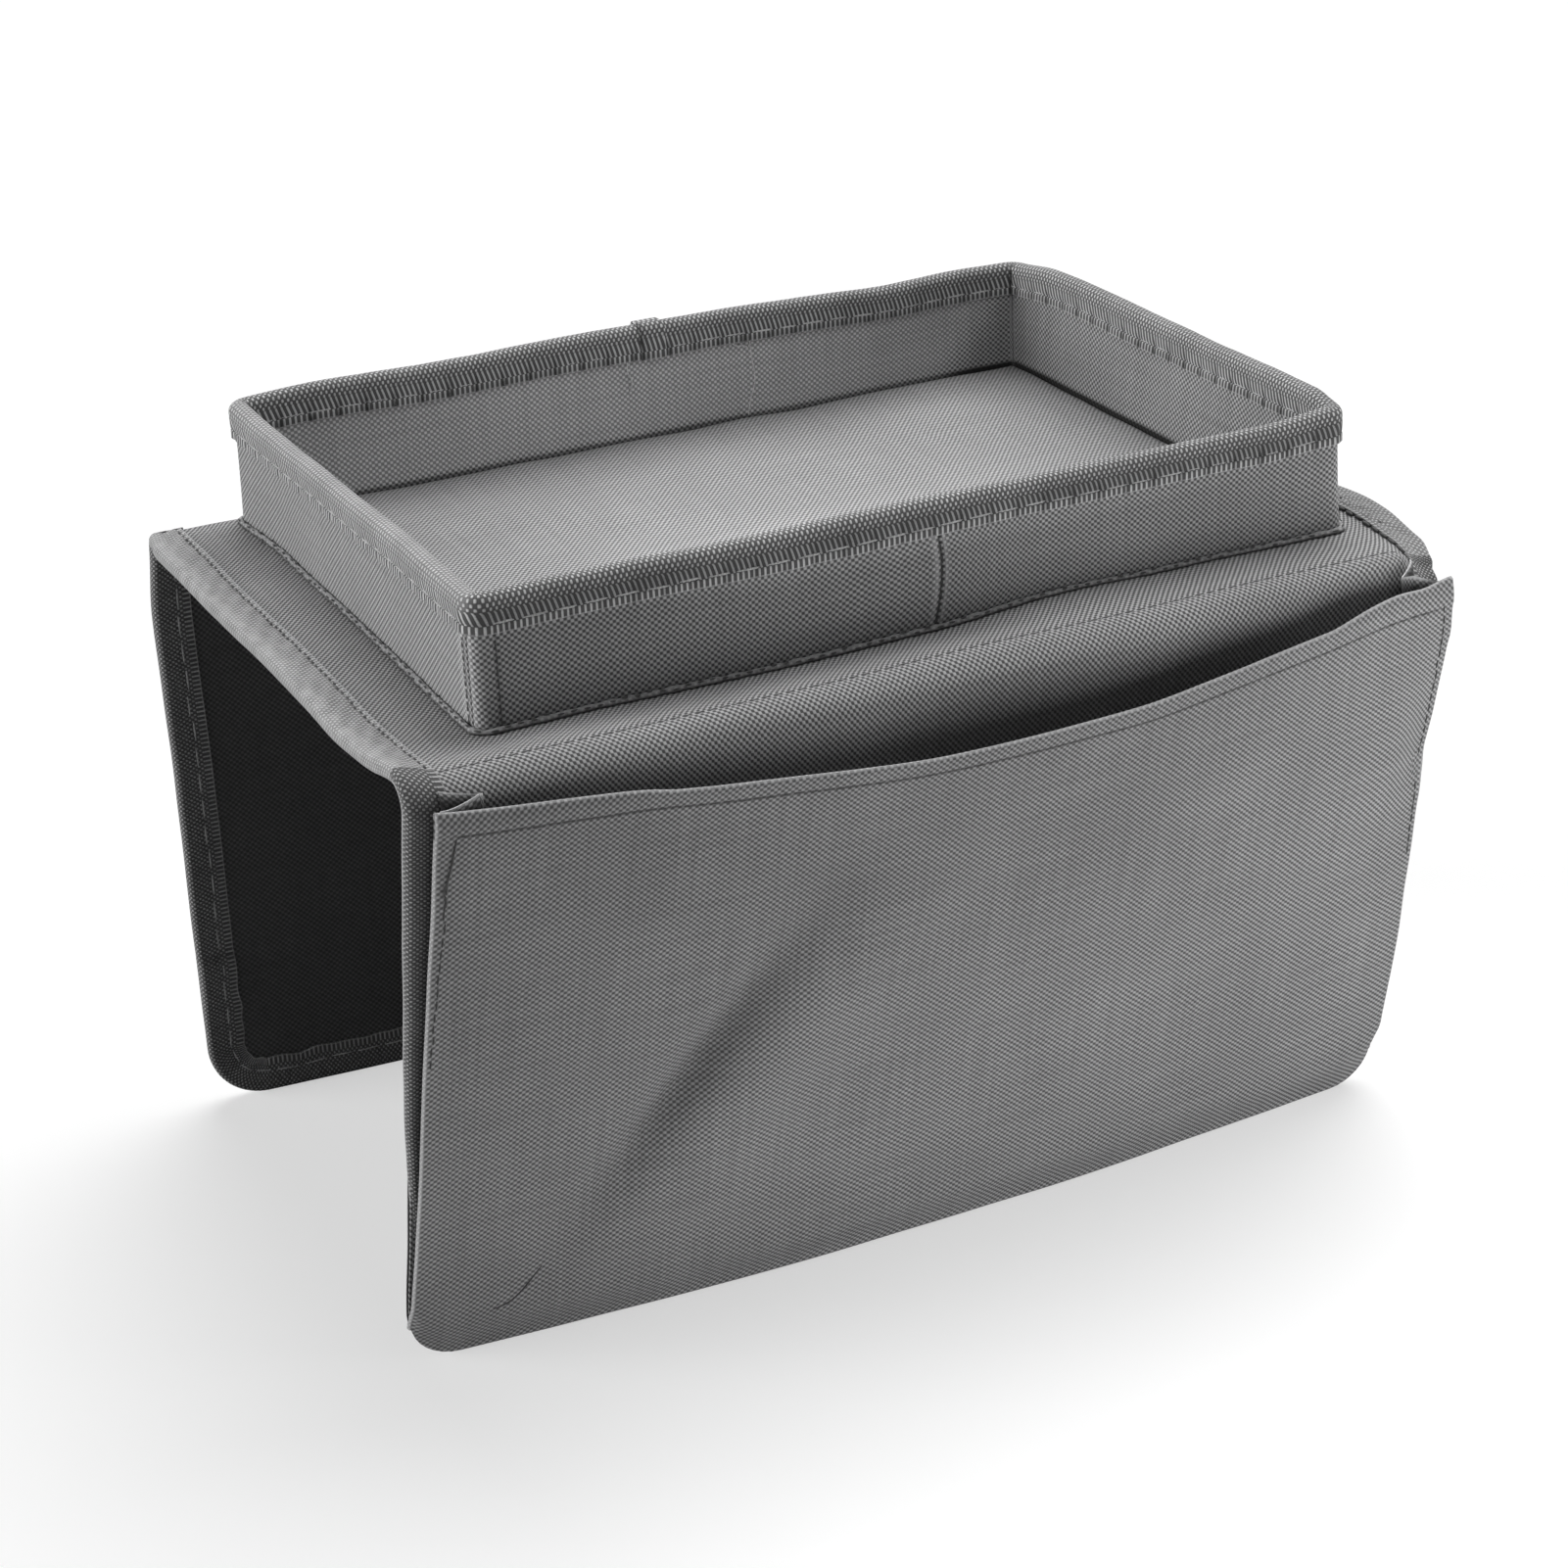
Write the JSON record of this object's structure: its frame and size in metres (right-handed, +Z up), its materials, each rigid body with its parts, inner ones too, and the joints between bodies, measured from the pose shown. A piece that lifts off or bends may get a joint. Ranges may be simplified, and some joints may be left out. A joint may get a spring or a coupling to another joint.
{
  "type": "sofa armrest tray",
  "caption": "Shallow cloth tray with a taped rim on a saddle that hangs over a sofa arm, with a wide gusseted pocket on one flap.",
  "frame": {"origin": "middle of the bounding box at the lower edges of the two flaps, on the surface the part stands on", "axes": "+X along the armrest, -Y towards the side with the pocket, +Z up"},
  "size_m": [0.359, 0.2594, 0.252],
  "materials": {
    "panel_cloth": "matte",
    "tray_cloth": "matte",
    "lining_cloth": "matte",
    "binding_tape": "matte",
    "stiff_board": "matte"
  },
  "bodies": {
    "tray_and_top": {"top_panel_cloth": "panel_cloth", "top_panel_board": "stiff_board", "top_panel_lining": "lining_cloth", "left_end_tape": "binding_tape", "right_end_tape": "binding_tape", "tray_outer_strip_long": "tray_cloth", "tray_outer_strip_short": "tray_cloth", "tray_foot_seam": "tray_cloth", "tray_lining": "tray_cloth", "tray_wall_board_front": "stiff_board", "tray_wall_board_rear": "stiff_board", "tray_wall_board_left": "stiff_board", "tray_wall_board_right": "stiff_board", "tray_floor_board": "stiff_board", "tray_floor_cloth": "tray_cloth", "tray_rim_tape": "binding_tape"},
    "front_flap": {"front_flap_cloth": "panel_cloth", "front_flap_board": "stiff_board", "front_flap_lining": "lining_cloth", "front_flap_tape_left": "binding_tape", "front_flap_tape_right": "binding_tape", "front_pocket_gusset_left": "panel_cloth", "front_pocket_gusset_right": "panel_cloth"},
    "front_pocket": {"front_pocket_panel": "panel_cloth"},
    "rear_flap": {"rear_flap_cloth": "panel_cloth", "rear_flap_board": "stiff_board", "rear_flap_lining": "lining_cloth", "rear_flap_tape": "binding_tape"}
  },
  "joints": [
    {"name": "front_flap_fold", "type": "hinge", "parent": "tray_and_top", "child": "front_flap", "pos_m": [0, -0.10522, 0.213], "axis": [-1, 0, 0], "range_deg": [-17, 102]},
    {"name": "rear_flap_fold", "type": "hinge", "parent": "tray_and_top", "child": "rear_flap", "pos_m": [0, 0.12418, 0.213], "axis": [1, 0, 0], "range_deg": [-28, 92]},
    {"name": "front_pocket_open", "type": "hinge", "parent": "front_flap", "child": "front_pocket", "pos_m": [0, -0.0762, 0.0005], "axis": [1, 0, 0], "range_deg": [0, 7.5], "deforming": ["front_pocket_gusset_left", "front_pocket_gusset_right"]}
  ]
}
